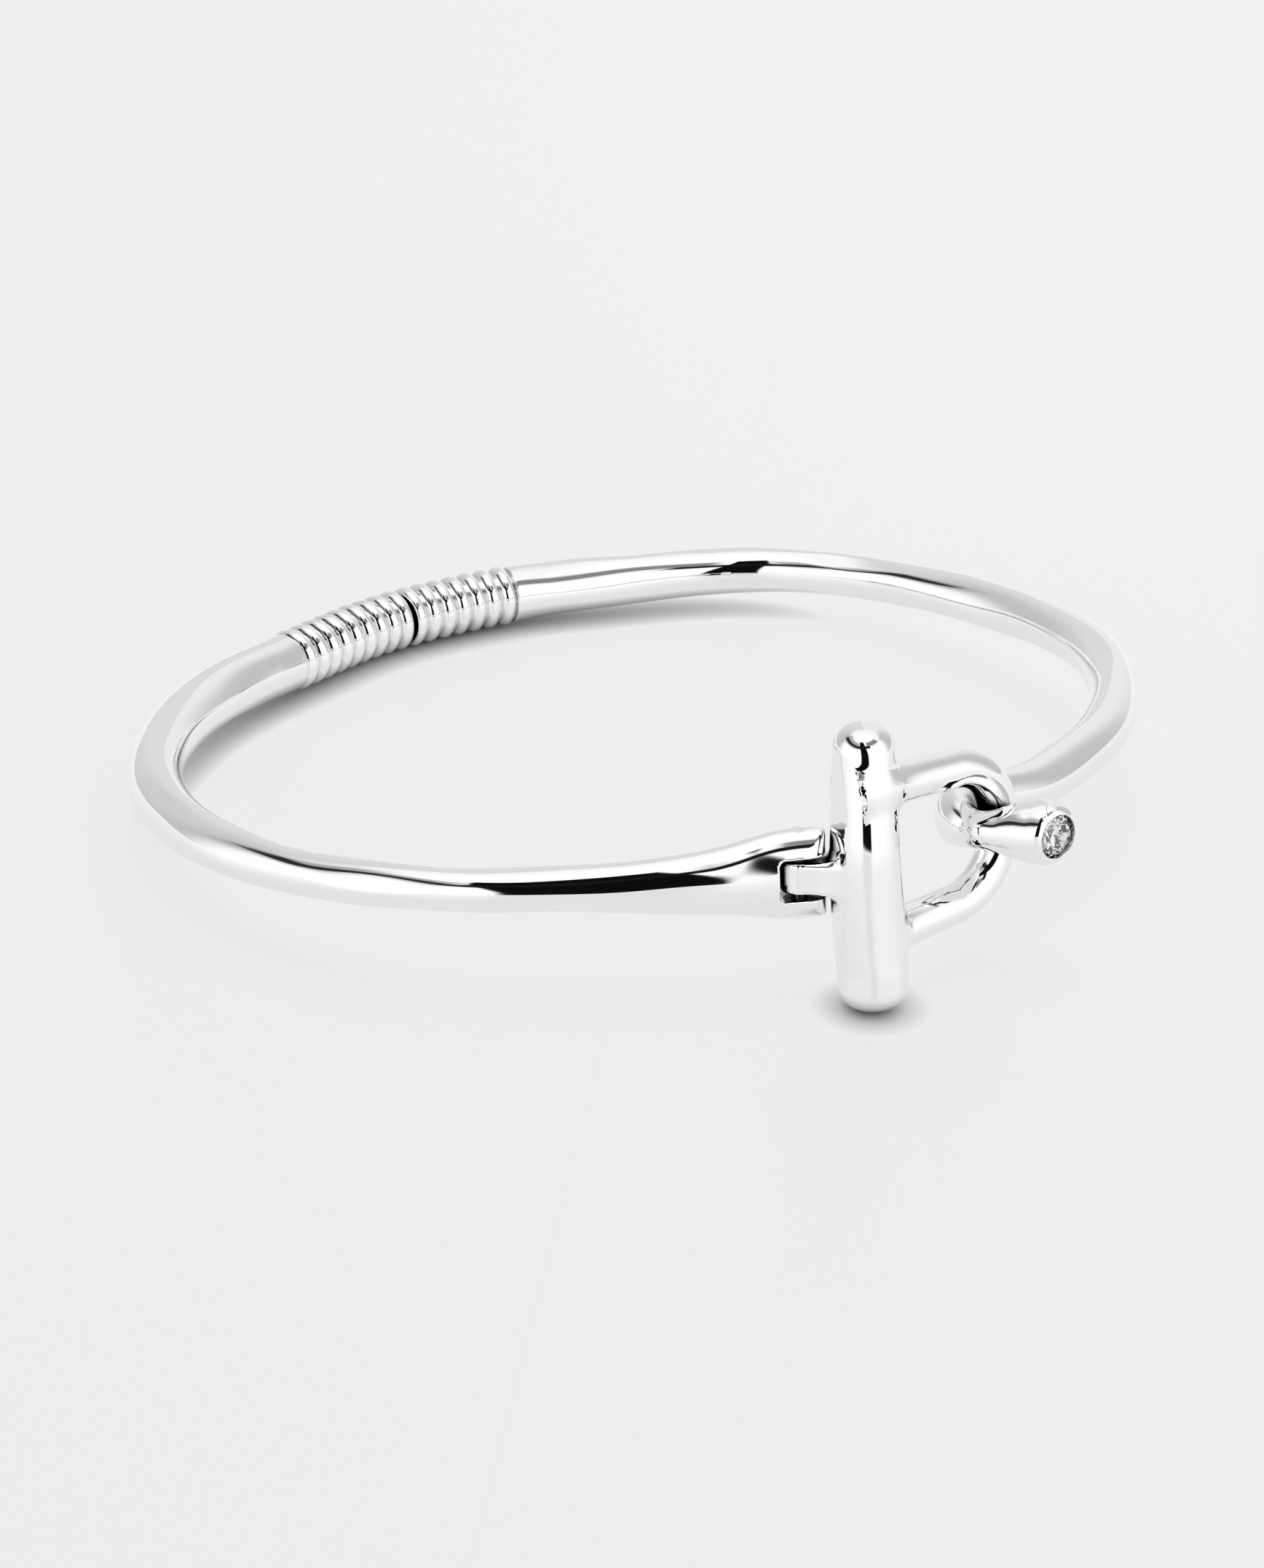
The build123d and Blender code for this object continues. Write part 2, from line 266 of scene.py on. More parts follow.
def nets(field, low, high, step):
    """Vertices and quads of a field's zero surface on a grid (surface nets)."""
    axes = [np.arange(a, b + step, step) for a, b in zip(low, high)]
    grid = field(*np.meshgrid(*axes, indexing="ij"))
    inside = grid < 0
    size = np.array(grid.shape) - 1
    corners = [(i, j, k) for i in (0, 1) for j in (0, 1) for k in (0, 1)]

    def corner(values, c):
        return values[c[0]:c[0] + size[0], c[1]:c[1] + size[1], c[2]:c[2] + size[2]]

    count = sum(corner(inside, c).astype(np.int8) for c in corners)
    active = (count > 0) & (count < 8)
    cell = np.argwhere(active)
    number = -np.ones(size, np.int64)
    number[active] = np.arange(len(cell))
    total = np.zeros((len(cell), 3))
    hits = np.zeros(len(cell))
    value = {c: corner(grid, c)[active] for c in corners}
    for a in corners:
        for axis in range(3):
            if a[axis] == 1:
                continue
            b = tuple(v + (k == axis) for k, v in enumerate(a))
            cross = (value[a] < 0) != (value[b] < 0)
            t = np.where(cross, value[a] / np.where(cross, value[a] - value[b], 1), 0)
            for k in range(3):
                total[:, k] += cross * (a[k] + (t if k == axis else 0))
            hits += cross
    vertices = np.array(low) + (cell + total / hits[:, None]) * step
    quads = []
    for axis in range(3):
        u, v = (axis + 1) % 3, (axis + 2) % 3
        first = [slice(None)] * 3
        second = [slice(None)] * 3
        first[axis], second[axis] = slice(0, -1), slice(1, None)
        flip = inside[tuple(first)] != inside[tuple(second)]
        edges = np.argwhere(flip)
        within = (edges[:, u] > 0) & (edges[:, v] > 0) & (edges[:, u] < size[u]) & (edges[:, v] < size[v])
        edges = edges[within]
        du, dv = np.eye(3, dtype=int)[u], np.eye(3, dtype=int)[v]
        ring = [edges - du - dv, edges - dv, edges, edges - du]
        face = np.stack([number[tuple(r.T)] for r in ring], axis=1)
        outward = inside[tuple(edges.T)]
        quads.append(np.where(outward[:, None], face, face[:, ::-1]))
    return vertices, np.concatenate(quads)


def slope(field, p, h=0.004):
    """The field's value and gradient at points."""
    x, y, z = p.T
    g = [field(x + h, y, z) - field(x - h, y, z), field(x, y + h, z) - field(x, y - h, z),
         field(x, y, z + h) - field(x, y, z - h)]
    return field(x, y, z), np.stack(g, axis=1) / (2 * h)


def settle(field, p, step):
    """Moves points onto the zero surface and returns them with the surface's slopes."""
    for _ in range(5):
        value, g = slope(field, p)
        size = np.maximum((g ** 2).sum(1), 0.05)
        p = p - np.clip(value / size, -step, step)[:, None] * g
    return p, slope(field, p)[1]


def mesh_object(name, vertices, faces, normals=None):
    """A smooth-shaded object in the row frame, from points in the bangle's plane frame."""
    mesh = bpy.data.meshes.new(name)
    mesh.from_pydata(in_row(vertices).tolist(), [], [list(map(int, face)) for face in faces])
    mesh.validate()
    mesh.polygons.foreach_set("use_smooth", [True] * len(mesh.polygons))
    if normals is not None:
        turned = normals @ RING_AXES.T
        turned /= np.linalg.norm(turned, axis=1)[:, None]
        mesh.normals_split_custom_set_from_vertices(turned.tolist())
    thing = bpy.data.objects.new(name, mesh)
    bpy.context.scene.collection.objects.link(thing)
    return thing


def field_object(name, field, low, high, step):
    """A casting from a field in the bangle's plane frame."""
    vertices, quads = nets(field, low, high, step)
    vertices, g = settle(field, vertices, step)
    return mesh_object(name, vertices, quads, g)


def band_object(name, line, field, low, high, step):
    """A casting from a field measured along a line (s), to its side (n) and up (z)."""
    vertices, quads = nets(field, low, high, step)
    vertices, g = settle(field, vertices, step)
    s, n, z = vertices.T
    here, ahead, side = line.frame(s)
    up = np.array((0.0, 0.0, 1.0))
    place = here + side * n[:, None] + up * z[:, None]
    later_side = line.frame(s + 0.1)[2]
    bend = ((later_side - side) * ahead).sum(1) / 0.1
    stretch = np.maximum(1 + bend * n, 0.2)
    normal = ahead * (g[:, 0] / stretch)[:, None] + side * g[:, 1:2] + up * g[:, 2:3]
    # On these lines (s, n, z) is a mirrored frame where the side points right of the way ahead.
    return mesh_object(name, place, quads[:, ::-1], normal)


# ---------------------------------------------------------------- the castings
FINE = 0.08


def ribbed_end(body, from_joint, around, count):
    """Rings round the last stretch before the joint, on a thinner core."""
    half = RIB_PITCH * 0.53
    length = count * RIB_PITCH
    local = np.mod(from_joint, RIB_PITCH) - RIB_PITCH / 2
    ring = np.hypot(local, around - (RIB_RADIUS - half)) - half
    core = around - (RIB_RADIUS - RIB_DEPTH - 0.06)
    ribs = np.maximum(blend_in(ring, core, 0.12), from_joint - length)
    plain = -blend_in(-body, from_joint - length - 0.02, 0.16)
    return blend_in(plain, ribs, 0.08)


def joint_end(body, from_joint, n, around, bevel):
    """Cuts the end face at the joint and the bore for the spring."""
    # The bevelled face opens on the inner side of the bangle.
    plane = JOINT_GAP / 2 - from_joint + np.maximum(n, 0) * math.tan(bevel)
    body = -blend_in(-body, -plane, 0.08)
    bore = np.maximum(around - BORE_RADIUS, from_joint - BORE_DEPTH)
    return cut_out(body, bore, 0.05)


def left_arm():
    line, lead = left_line()
    total = line.length
    ribbed = total - LEFT_RIBS * RIB_PITCH

    heights = [(0, 2.62), (lead, 2.65), (lead + 1.5, 2.54), (lead + 3.4, 2.16), (lead + 6.1, 1.78),
               (lead + 9.8, 1.47), (lead + 13.9, 1.31), (lead + 22, 1.26), (lead + 29, 1.32),
               (lead + 38, 1.58), (lead + 46, 1.70), (lead + 56, 1.82), (ribbed - 2, 1.9),
               (ribbed, 1.9), (total + 1, 1.9)]
    depths = [(0, 1.5), (lead, 1.5), (lead + 3.4, 1.46), (lead + 6.1, 1.38), (lead + 9.8, 1.3),
              (lead + 13.9, 1.27), (lead + 22, 1.25), (lead + 29, 1.32), (lead + 38, 1.52),
              (lead + 46, 1.68), (lead + 56, 1.82), (ribbed - 2, 1.9), (ribbed, 1.9), (total + 1, 1.9)]
    flats = [(lead + 52, 17, 78, 0.16), (lead + 55, 14, 172, 0.16), (lead + 40, 12, 118, 0.12),
             (lead + 36, 11, 215, 0.10), (lead + 30, 9, 60, 0.08), (lead + 62, 8, -60, 0.12),
             (lead + 24, 9, 150, 0.07), (lead + 47, 10, -95, 0.10), (lead + 14, 8, 250, 0.06)]

    def field(s, n, z):
        angle = np.arctan2(z, n)
        plain = np.clip((ribbed - 0.6 - s) / 2, 0, 1) * np.clip((s - lead - 1) / 4, 0, 1)
        around = np.hypot(n, z)
        body = ellipse_field(n, z, profile(s, depths), profile(s, heights))
        body = filed(body, s, n, z, profile(s, depths), profile(s, heights), flats)
        body = body + plain * ripple(s, angle, 0.10, 11)
        body = ribbed_end(body, total - s, around, LEFT_RIBS)
        body = joint_end(body, total - s, n, around, 0)
        tip = np.where(s < lead, np.hypot(s - lead, n) - FORK_DEPTH / 2, -3)
        body = -blend_in(-body, -tip, 0.35)
        slot = box_field(s - (lead + SLOT_BACK - 4), n, z, (4, 6, SLOT_HEIGHT / 2), 0.42)
        return cut_out(body, slot, 0.12)

    return band_object("left_arm_casting", line, field, (lead - 2, -3, -3.2), (total + 0.3, 3, 3.2), FINE)


def right_arm():
    line, bend_start, bend_length = right_line()
    ribbed = RIGHT_RIBS * RIB_PITCH
    bend_end = bend_start + bend_length
    centre = bend_end + BALL_REACH
    heights = [(-1, 1.9), (ribbed, 1.9), (ribbed + 2.5, 1.87), (17, 1.72), (26, 1.55), (34, 1.5),
               (45, 1.58), (56, 1.62), (66, 1.58), (bend_start - 7, 1.5), (bend_start, 1.55),
               (bend_start + bend_length * 0.5, 1.5), (bend_end - 0.6, 1.12), (centre - 1.6, 1.62),
               (centre, 1.84), (centre + 3, 1.84)]
    depths = [(-1, 1.9), (ribbed, 1.9), (ribbed + 2.5, 1.87), (17, 1.7), (26, 1.53), (34, 1.48),
              (45, 1.55), (56, 1.6), (66, 1.55), (bend_start - 7, 1.42), (bend_start, 1.16),
              (bend_start + bend_length * 0.5, 1.15), (bend_end - 0.6, 1.13), (centre - 1.6, 1.6),
              (centre, 1.84), (centre + 3, 1.84)]
    flats = [(17, 7, 95, 0.10), (15, 8, 190, 0.14), (27, 9, 150, 0.12), (33, 9, 60, 0.12),
             (40, 8, 200, 0.12), (46, 9, 110, 0.10), (53, 8, 165, 0.14), (60, 10, 70, 0.12),
             (67, 8, 215, 0.10), (50, 9, -70, 0.10)]
    # In the ball's own frame the seat faces the front of the bangle, square to the row's X.
    ahead = tail
    side = np.array((ahead[1], -ahead[0], 0))
    seat = np.array((0.0, -1.0, 0.0))
    seat_s, seat_n = float(seat @ ahead), float(seat @ side)

    def field(s, n, z):
        angle = np.arctan2(z, n)
        around = np.hypot(n, z)
        plain = np.clip((s - ribbed - 0.6) / 2, 0, 1) * np.clip((bend_start - 2 - s) / 4, 0, 1)
        body = ellipse_field(n, z, profile(s, depths), profile(s, heights))
        body = filed(body, s, n, z, profile(s, depths), profile(s, heights), flats)
        body = body + plain * ripple(s, angle, 0.10, 23)
        body = np.maximum(body, s - centre)
        body = ribbed_end(body, s, around, RIGHT_RIBS)
        body = joint_end(body, s, n, around, BEVEL)
        globe = np.sqrt((s - centre) ** 2 + (n * 1.04) ** 2 + z ** 2) - BALL_RADIUS
        body = blend_in(body, globe, 0.2)
        out = (s - centre) * seat_s + n * seat_n
        wide = np.sqrt(np.maximum((s - centre) ** 2 + n ** 2 + z ** 2 - out ** 2, 0))
        near = np.abs(s - centre) < 4
        face = np.where(near, SEAT_OFFSET - out, 5)
        body = cut_out(body, face, 0.42)
        cup = np.where(near, np.maximum(wide - STONE_RADIUS - 0.02, SEAT_OFFSET - SEAT_DEPTH - out), 5)
        return cut_out(body, cup, 0.05)

    high = (centre + BALL_RADIUS + 0.3, 3, 3.2)
    return band_object("right_arm_casting", line, field, (-0.3, -3, -3.2), high, FINE)


def loop_outline(x, z):
    """Distance in the loop's plane from its centre line: a trapezium with two rounded corners."""
    high, low = LOOP_HEIGHT / 2, LOOP_BOW_HEIGHT / 2
    lean = math.atan2(high - low, LOOP_REACH)
    up = np.abs(z)
    limb = (up - high) * math.cos(lean) + x * math.sin(lean)
    end = x - LOOP_REACH
    a, b = limb + LOOP_BEND, end + LOOP_BEND
    corner = np.hypot(np.maximum(a, 0), np.maximum(b, 0)) - LOOP_BEND
    return np.where((a > 0) & (b > 0), corner, np.maximum(limb, end))


def toggle():
    way = (bar - pin) / np.linalg.norm(bar - pin)
    across = np.array((way[1], -way[0], 0))
    reach = float(np.linalg.norm(bar - pin))

    # Towards the camera's side, and to its right: the bar's front is worn back towards its top.
    front, right = np.array((-0.66, -0.75)), np.array((0.79, -0.61))

    def t_bar(x, y, z):
        low = np.clip(3 - z, 0, 9)
        wear_and_painted_shade = (np.sqrt((z - BAR_KNEE) ** 2 + 0.5) + z - BAR_KNEE) / 2
        bx = x - bar[0] + front[0] * BAR_LEAN * wear_and_painted_shade - right[0] * 0.0045 * low ** 2
        by = y - bar[1] + front[1] * BAR_LEAN * wear_and_painted_shade - right[1] * 0.0045 * low ** 2
        radius = BAR_THICK - BAR_TAPER * wear_and_painted_shade
        to_front = bx * front[0] + by * front[1]
        to_right = bx * right[0] + by * right[1]
        turn = np.arctan2(to_right, to_front)
        end = BAR_LENGTH / 2 - np.where(z > 0, BAR_TOP_CAP, BAR_FOOT_CAP)
        cap = np.maximum(np.abs(z) - end, 0) * np.where(z > 0, 1.12, 1.28)
        around = np.hypot(bx, by)
        rod = (around ** 2.4 + cap ** 2.4) ** (1 / 2.4) - radius
        ridge = 0.055 * np.clip((1 - z) / 4, 0, 1) * np.clip((z + 8) / 2, 0, 1)
        rod = rod - ridge * np.cos(4 * turn) + ripple(z + 20, turn, 0.02, 5)
        flank = 0.42 * to_front - 0.91 * to_right - 1.62 - 0.05 * np.abs(z - 3.5)
        return -blend_in(-rod, -flank, 0.12)

    def field(x, y, z):
        bx, by, bz = x - bar[0], y - bar[1], z - BAR_RISE
        rod = t_bar(x, y, bz)
        wire = LOOP_RADIUS + 0.06 + 0.25 * np.exp(-np.maximum(bx - 1.6, 0) / 1.1)
        ring = np.hypot(loop_outline(bx, bz), by) - wire
        ring = np.where(bx > -1, ring, np.maximum(ring, -bx))
        body = blend_in(rod, ring, 0.6)
        tx, ty = x - pin[0], y - pin[1]
        u, v = tx * way[0] + ty * way[1], tx * across[0] + ty * across[1]
        half = (reach / 2, TONGUE_WIDTH / 2, TONGUE_THICKNESS / 2)
        thicker = np.clip(u - 1.2, 0, 2) * 0.12
        plate = box_field(u - reach / 2, v, z, half, 0.3) - thicker
        eye = np.hypot(u, v) - TONGUE_WIDTH / 2
        eye = -blend_in(-eye, TONGUE_THICKNESS / 2 - np.abs(z), 0.3)
        link = blend_in(plate, eye, 0.05)
        body = blend_in(body, link, 0.6)
        hole = np.hypot(tx, ty) - PIN_RADIUS
        return cut_out(body, hole, 0.05)

    low = (pin[0] - 2, bar[1] - 3, BAR_RISE - BAR_LENGTH / 2 - 0.5)
    high = (bow[0] + 1.8, pin[1] + 2, BAR_RISE + BAR_LENGTH / 2 + 0.5)
    return field_object("toggle_casting", field, low, high, FINE)


# ---------------------------------------------------------------- the stone and the spring
def stone():
    """A round brilliant: table, star, kite and girdle facets above, mains and halves below."""
    crown, girdle, pavilion = 0.34, 0.05, 1.02
    table = STONE_RADIUS * 0.56

    def ring(radius, height, count, shift):
        angles = [2 * math.pi * (k + shift) / count for k in range(count)]
        return [(radius * math.cos(a), radius * math.sin(a), height) for a in angles]

    levels = [ring(table, crown + girdle, 8, 0), ring(STONE_RADIUS * 0.80, (crown * 0.55) + girdle, 8, 0.5),
              ring(STONE_RADIUS, girdle, 16, 0), ring(STONE_RADIUS, 0, 16, 0),
              ring(STONE_RADIUS * 0.22, -pavilion * 0.80, 8, 0), [(0, 0, -pavilion)]]
    points = [p for level in levels for p in level]
    start = [sum(len(level) for level in levels[:k]) for k in range(len(levels))]
    a, b, c, d, e, tip = start
    faces = [tuple(a + k for k in range(8))]
    for k in range(8):
        k1, g0, g1, g2 = (k + 1) % 8, 2 * k, (2 * k + 1) % 16, (2 * k + 2) % 16
        faces += [(a + k, b + k, a + k1), (a + k1, b + k, c + g2, b + k1)]
        faces += [(b + k, c + g0, c + g1), (b + k, c + g1, c + g2)]
        faces += [(c + g0, d + g0, d + g1, c + g1), (c + g1, d + g1, d + g2, c + g2)]
        faces += [(d + g0, e + k, d + g1), (d + g1, e + k, e + k1), (d + g1, e + k1, d + g2)]
        faces += [(e + k, tip, e + k1)]
    points = np.array(points)
    sink = SEAT_OFFSET - STONE_SINK - crown - girdle
    out, right, up = np.array((0, -1.0, 0)), np.array((1.0, 0, 0)), np.array((0, 0, 1.0))
    place = ball + points[:, :1] * right + points[:, 1:2] * up + (points[:, 2:3] + sink) * out
    thing = mesh_object("brilliant_stone", place, faces)
    mesh = thing.data
    mesh.polygons.foreach_set("use_smooth", [False] * len(mesh.polygons))
    work = bmesh.new()
    work.from_mesh(mesh)
    bmesh.ops.recalc_face_normals(work, faces=work.faces)
    work.to_mesh(mesh)
    work.free()
    return thing


def tube_object(name, centre, radius, sides=12):
    """A round wire along close points."""
    ahead = np.gradient(centre, axis=0)
    ahead /= np.linalg.norm(ahead, axis=1)[:, None]
    middle = np.array((0, HALF_DEPTH, 0))
    inward = np.cross(ahead, np.cross(centre - middle, ahead) + 1e-9)
    inward /= np.linalg.norm(inward, axis=1)[:, None]
    across = np.cross(ahead, inward)
    turn = np.linspace(0, 2 * math.pi, sides, endpoint=False)
    rings = centre[:, None] + radius * (np.cos(turn)[None, :, None] * inward[:, None]
                                        + np.sin(turn)[None, :, None] * across[:, None])
    count = len(centre)
    faces = []
    for i in range(count - 1):
        for k in range(sides):
            k1 = (k + 1) % sides
            faces.append((i * sides + k, i * sides + k1, (i + 1) * sides + k1, (i + 1) * sides + k))
    faces.append(tuple(range(sides))[::-1])
    faces.append(tuple((count - 1) * sides + k for k in range(sides)))
    return mesh_object(name, rings.reshape(-1, 3), faces)


def spring():
    """The close-wound coil across the joint."""
    pitch = SPRING_WIRE * 1.25
    turns = (SPRING_LENGTH - SPRING_WIRE) / pitch
    t = np.linspace(0, 1, int(turns * 24))
    angle = t * turns * 2 * math.pi
    radius = (SPRING_OUTER - SPRING_WIRE) / 2
    centre = np.stack([(t - 0.5) * (SPRING_LENGTH - SPRING_WIRE),
                       HALF_DEPTH + radius * np.cos(angle), radius * np.sin(angle)], axis=1)
    return tube_object("coil_spring", centre, SPRING_WIRE / 2)


# ---------------------------------------------------------------- materials
def material(name):
    made = bpy.data.materials.new(name)
    made.use_nodes = True
    tree = made.node_tree
    shader = tree.nodes["Principled BSDF"]
    return made, tree, shader


def add_node(tree, kind, **values):
    node = tree.nodes.new(kind)
    for key, value in values.items():
        if key in node.inputs:
            node.inputs[key].default_value = value
        else:
            setattr(node, key.lower(), value)
    return node


def polished_silver(name, roughness, tint):
    """Silver with a hand polish: faint cloudiness and hairlines that only show up close."""
    made, tree, shader = material(name)
    shader.inputs["Metallic"].default_value = 1.0
    where = add_node(tree, "ShaderNodeTexCoord")
    cloud = add_node(tree, "ShaderNodeTexNoise", Scale=260.0, Detail=3.0)
    tree.links.new(where.outputs["Object"], cloud.inputs["Vector"])
    rough = add_node(tree, "ShaderNodeMapRange")
    rough.inputs["To Min"].default_value = roughness * 0.6
    rough.inputs["To Max"].default_value = roughness * 1.5
    tree.links.new(cloud.outputs["Fac"], rough.inputs["Value"])
    tree.links.new(rough.outputs["Result"], shader.inputs["Roughness"])
    colour = add_node(tree, "ShaderNodeMix")
    colour.data_type = "RGBA"
    colour.inputs["A"].default_value = (*tint, 1)
    colour.inputs["B"].default_value = (*[min(1.0, v * 1.03) for v in tint], 1)
    tree.links.new(cloud.outputs["Fac"], colour.inputs["Factor"])
    # Painted shade: tight corners and creases stay dark in the base colour, from an ambient-occlusion mask.
    corner = add_node(tree, "ShaderNodeAmbientOcclusion", Distance=0.0007)
    corner.samples = 8
    reach = add_node(tree, "ShaderNodeMapRange")
    reach.inputs["From Min"].default_value = 0.22
    reach.inputs["From Max"].default_value = 0.62
    tree.links.new(corner.outputs["AO"], reach.inputs["Value"])
    # Painted shade: where the occlusion mask is low, the base colour is swapped for near-black.
    wear_and_painted_shade = add_node(tree, "ShaderNodeMix")
    wear_and_painted_shade.data_type = "RGBA"
    wear_and_painted_shade.inputs["A"].default_value = (0.05, 0.05, 0.052, 1)
    tree.links.new(reach.outputs["Result"], wear_and_painted_shade.inputs["Factor"])
    tree.links.new(colour.outputs["Result"], wear_and_painted_shade.inputs["B"])
    tree.links.new(wear_and_painted_shade.outputs["Result"], shader.inputs["Base Color"])
    grain = add_node(tree, "ShaderNodeTexNoise", Scale=900.0, Detail=2.0)
    tree.links.new(where.outputs["Object"], grain.inputs["Vector"])
    bump = add_node(tree, "ShaderNodeBump", Strength=0.02, Distance=0.00001)
    tree.links.new(grain.outputs["Fac"], bump.inputs["Height"])
    tree.links.new(bump.outputs["Normal"], shader.inputs["Normal"])
    return made


def clear_stone():
    made, tree, shader = material("clear_stone")
    shader.inputs["Base Color"].default_value = (1, 1, 1, 1)
    shader.inputs["Roughness"].default_value = 0.0
    shader.inputs["IOR"].default_value = 2.15
    shader.inputs["Transmission Weight"].default_value = 1.0
    return made


def dress(thing, made):
    thing.data.materials.clear()
    thing.data.materials.append(made)


silver = polished_silver("polished_silver", 0.035, (0.91, 0.91, 0.905))
steel = polished_silver("spring_steel", 0.25, (0.55, 0.56, 0.58))
clear = clear_stone()

for build, node, body, finish, slot in (
        (left_arm, "left_arm", "left_half", silver, "polished_silver"),
        (right_arm, "right_arm", "right_half", silver, "polished_silver"),
        (toggle, "toggle", "toggle", silver, "polished_silver"),
        (stone, "stone", "right_half", clear, "clear_stone")):
    piece = build()
    dress(piece, finish)
    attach(piece, body)
    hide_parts(node)

coil = spring()
dress(coil, steel)
tuple(in_row(np.array([[-2.5, HALF_DEPTH, 0]]))[0])
tuple(in_row(np.array([[2.5, HALF_DEPTH, 0]]))[0])
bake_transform(coil)
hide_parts("hinge_spring")

for name, finish in (("clevis_pin", silver), ("left_spring_anchor", steel), ("right_spring_anchor", steel)):
    dress(frame["nodes"][name], finish)


# ---------------------------------------------------------------- floor, light and camera
FLOOR_HALF = 3.0
FLOOR_GLOW, FLOOR_BACK = 0.73, 0.90         # strength of the glow near the camera, and what the painted falloff leaves of it far away
FLOOR_NEAR, FLOOR_FAR, FLOOR_BACK_WAY = -0.10, 0.30, 52.0    # where it fades, and the way, in degrees


def floor():
    corners = [(x * FLOOR_HALF, y * FLOOR_HALF, 0) for x, y in ((-1, -1), (1, -1), (1, 1), (-1, 1))]
    mesh = bpy.data.meshes.new("floor")
    mesh.from_pydata(corners, [], [(0, 1, 2, 3)])
    thing = bpy.data.objects.new("floor", mesh)
    bpy.context.scene.collection.objects.link(thing)
    made, tree, shader = material("pale_floor")
    shader.inputs["Base Color"].default_value = (0.10, 0.10, 0.10, 1)
    shader.inputs["Roughness"].default_value = 0.4
    shader.inputs["IOR"].default_value = 1.38
    # Painted shadow: the floor glows, and an ambient-occlusion mask darkens the glow, so only what nearly
    # touches it leaves a shadow.
    near = add_node(tree, "ShaderNodeAmbientOcclusion", Distance=0.0019)
    near.samples = 8
    tree.links.new(near.outputs["Color"], shader.inputs["Emission Color"])
    # Painted falloff: its glow grows a little dimmer towards the back.
    where = add_node(tree, "ShaderNodeTexCoord")
    turned = add_node(tree, "ShaderNodeMapping")
    turned.inputs["Rotation"].default_value = (0, 0, math.radians(-FLOOR_BACK_WAY))
    tree.links.new(where.outputs["Object"], turned.inputs["Vector"])
    depth = add_node(tree, "ShaderNodeSeparateXYZ")
    tree.links.new(turned.outputs["Vector"], depth.inputs[0])
    painted_falloff = add_node(tree, "ShaderNodeMapRange")
    for key, number in (("From Min", FLOOR_NEAR), ("From Max", FLOOR_FAR), ("To Min", 1.0),
                        ("To Max", FLOOR_BACK)):
        painted_falloff.inputs[key].default_value = number
    tree.links.new(depth.outputs[0], painted_falloff.inputs["Value"])
    glow = add_node(tree, "ShaderNodeMath")
    glow.operation = "MULTIPLY"
    glow.inputs[1].default_value = FLOOR_GLOW
    tree.links.new(painted_falloff.outputs["Result"], glow.inputs[0])
    tree.links.new(glow.outputs[0], shader.inputs["Emission Strength"])
    dress(thing, made)


CAMERA_AZIMUTH, CAMERA_ELEVATION, CAMERA_ROLL = -37.53, 20.95, -2.05    # about the bangle's plane
CAMERA_DISTANCE, CAMERA_AIM = 223.7, (-7.84, -8.66, 0.0)
FOCAL_SHARE = 2.9897                        # focal length over the frame's width
TOP_LIGHT = 3.2


def camera():
    azimuth, elevation, roll = (math.radians(v) for v in (CAMERA_AZIMUTH, CAMERA_ELEVATION, CAMERA_ROLL))
    back = Vector((math.sin(azimuth) * math.cos(elevation), -math.cos(azimuth) * math.cos(elevation),
                   math.sin(elevation)))
    right = (-back).cross(Vector((0, 0, 1))).normalized()
    up = right.cross(-back)
    turned = math.cos(roll) * right + math.sin(roll) * up
    upright = math.cos(roll) * up - math.sin(roll) * right
    place = (Vector(CAMERA_AIM) + CAMERA_DISTANCE * back) * MM
    data = bpy.data.cameras.new("camera")
    data.sensor_fit = "HORIZONTAL"
    data.sensor_width = 36.0
    data.lens = FOCAL_SHARE * data.sensor_width
    data.clip_start, data.clip_end = 0.01, 20
    thing = bpy.data.objects.new("camera", data)
    local = Matrix((turned, upright, back)).transposed().to_4x4()
    thing.matrix_world = RING @ Matrix.Translation(place) @ local
    bpy.context.scene.collection.objects.link(thing)
    bpy.context.scene.camera = thing
    return thing


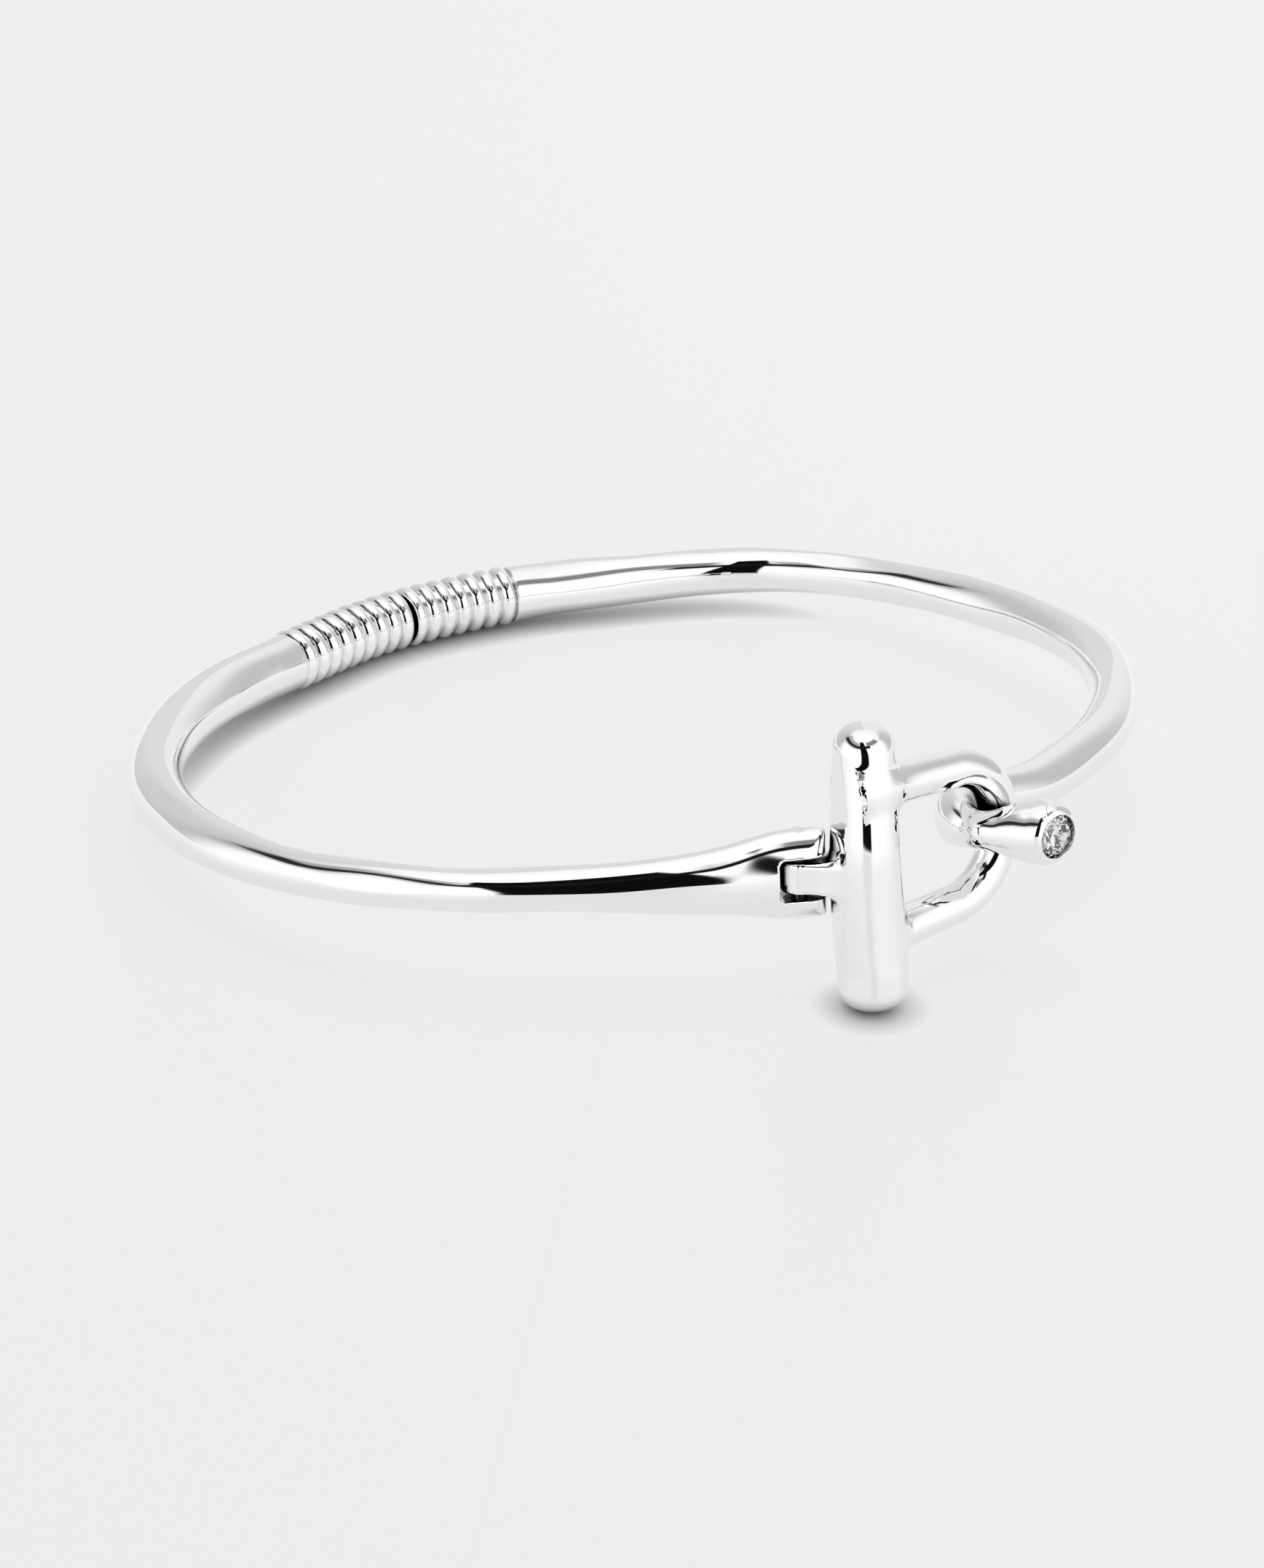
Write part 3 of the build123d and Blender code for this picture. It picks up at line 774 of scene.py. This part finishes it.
def studio(view):
    """A white tent seen in the polish: a bright top, a grey back and a dark gap round the camera."""
    world = bpy.data.worlds.new("studio")
    bpy.context.scene.world = world
    world.use_nodes = True
    tree = world.node_tree
    tree.nodes.clear()
    links = tree.links

    def sum_up(operation, a, b=None):
        node = tree.nodes.new("ShaderNodeMath")
        node.operation = operation
        for socket, value in zip(node.inputs, (a, b)):
            if value is None:
                continue
            if isinstance(value, (int, float)):
                socket.default_value = value
            else:
                links.new(value, socket)
        return node.outputs[0]

    def ease(value, start, end, low, high):
        """Goes smoothly from low to high while value goes from start to end."""
        node = tree.nodes.new("ShaderNodeMapRange")
        node.interpolation_type = "SMOOTHSTEP"
        links.new(value, node.inputs["Value"])
        for key, number in (("From Min", start), ("From Max", end), ("To Min", low), ("To Max", high)):
            node.inputs[key].default_value = number
        return node.outputs["Result"]

    def window(value, start, end, soft):
        """One between start and end, fading to nothing outside."""
        return sum_up("MULTIPLY", ease(value, start - soft, start + soft, 0.0, 1.0),
                      ease(value, end - soft, end + soft, 1.0, 0.0))

    def paint(under, mask, level):
        """Light of this level laid over what is there, where the mask is one."""
        left = sum_up("MULTIPLY", under, sum_up("SUBTRACT", 1.0, mask))
        return sum_up("ADD", left, sum_up("MULTIPLY", mask, level))

    where = tree.nodes.new("ShaderNodeTexCoord")
    parts = tree.nodes.new("ShaderNodeSeparateXYZ")
    links.new(where.outputs["Generated"], parts.inputs[0])
    x, y, z = parts.outputs
    # In degrees: the way round from the camera, positive to its right, and the height.
    towards = view.matrix_world.translation.normalized()
    facing = math.atan2(towards.y, towards.x)
    along = sum_up("ADD", sum_up("MULTIPLY", x, math.cos(facing)), sum_up("MULTIPLY", y, math.sin(facing)))
    aside = sum_up("SUBTRACT", sum_up("MULTIPLY", y, math.cos(facing)),
                   sum_up("MULTIPLY", x, math.sin(facing)))
    round_to = sum_up("MULTIPLY", sum_up("ARCTAN2", aside, along), 180 / math.pi)
    away = sum_up("ABSOLUTE", round_to)
    height = sum_up("MULTIPLY", sum_up("ARCSINE", z), 180 / math.pi)

    back = ease(away, 112.0, 176.0, 0.57, 0.76)
    back = paint(back, ease(round_to, 128.0, 166.0, 0.0, 1.0), 0.88)
    back = paint(back, ease(height, 44.0, 60.0, 0.0, 1.0), 1.02)
    light = paint(back, ease(away, 84.0, 108.0, 1.0, 0.0), 1.08)
    left_shade = sum_up("MULTIPLY", window(round_to, -118.0, -26.0, 9.0), window(height, 35.0, 60.0, 6.0))
    light = paint(light, left_shade, 0.42)
    seam = sum_up("MULTIPLY", window(round_to, -112.0, -12.0, 6.0), window(height, 38.5, 49.0, 1.5))
    light = paint(light, seam, 0.03)
    right_shade = sum_up("MULTIPLY", window(round_to, 12.0, 84.0, 7.0), window(height, 50.0, 67.0, 4.0))
    light = paint(light, right_shade, 0.25)
    light = paint(light, ease(height, 71.0, 76.0, 0.0, 1.0), TOP_LIGHT)
    # The gap leans towards the left as it rises.
    lean = sum_up("MULTIPLY", sum_up("MULTIPLY", height, height), 0.0055)
    gap = window(sum_up("ADD", round_to, lean), -8.0, 19.0, 1.0)
    gap = sum_up("MULTIPLY", gap, window(height, 1.0, 67.0, 1.2))
    light = paint(light, gap, 0.004)
    bar_across = sum_up("MULTIPLY", window(round_to, -24.0, 30.0, 2.0), window(height, 42.0, 52.0, 1.5))
    light = paint(light, bar_across, 0.01)

    colour = tree.nodes.new("ShaderNodeCombineColor")
    for socket in colour.inputs:
        links.new(light, socket)
    background = tree.nodes.new("ShaderNodeBackground")
    links.new(colour.outputs[0], background.inputs["Color"])
    output = tree.nodes.new("ShaderNodeOutputWorld")
    links.new(background.outputs[0], output.inputs["Surface"])


floor()
studio(camera())
bpy.context.scene.view_settings.view_transform = "Standard"
bpy.context.scene.view_settings.look = "None"
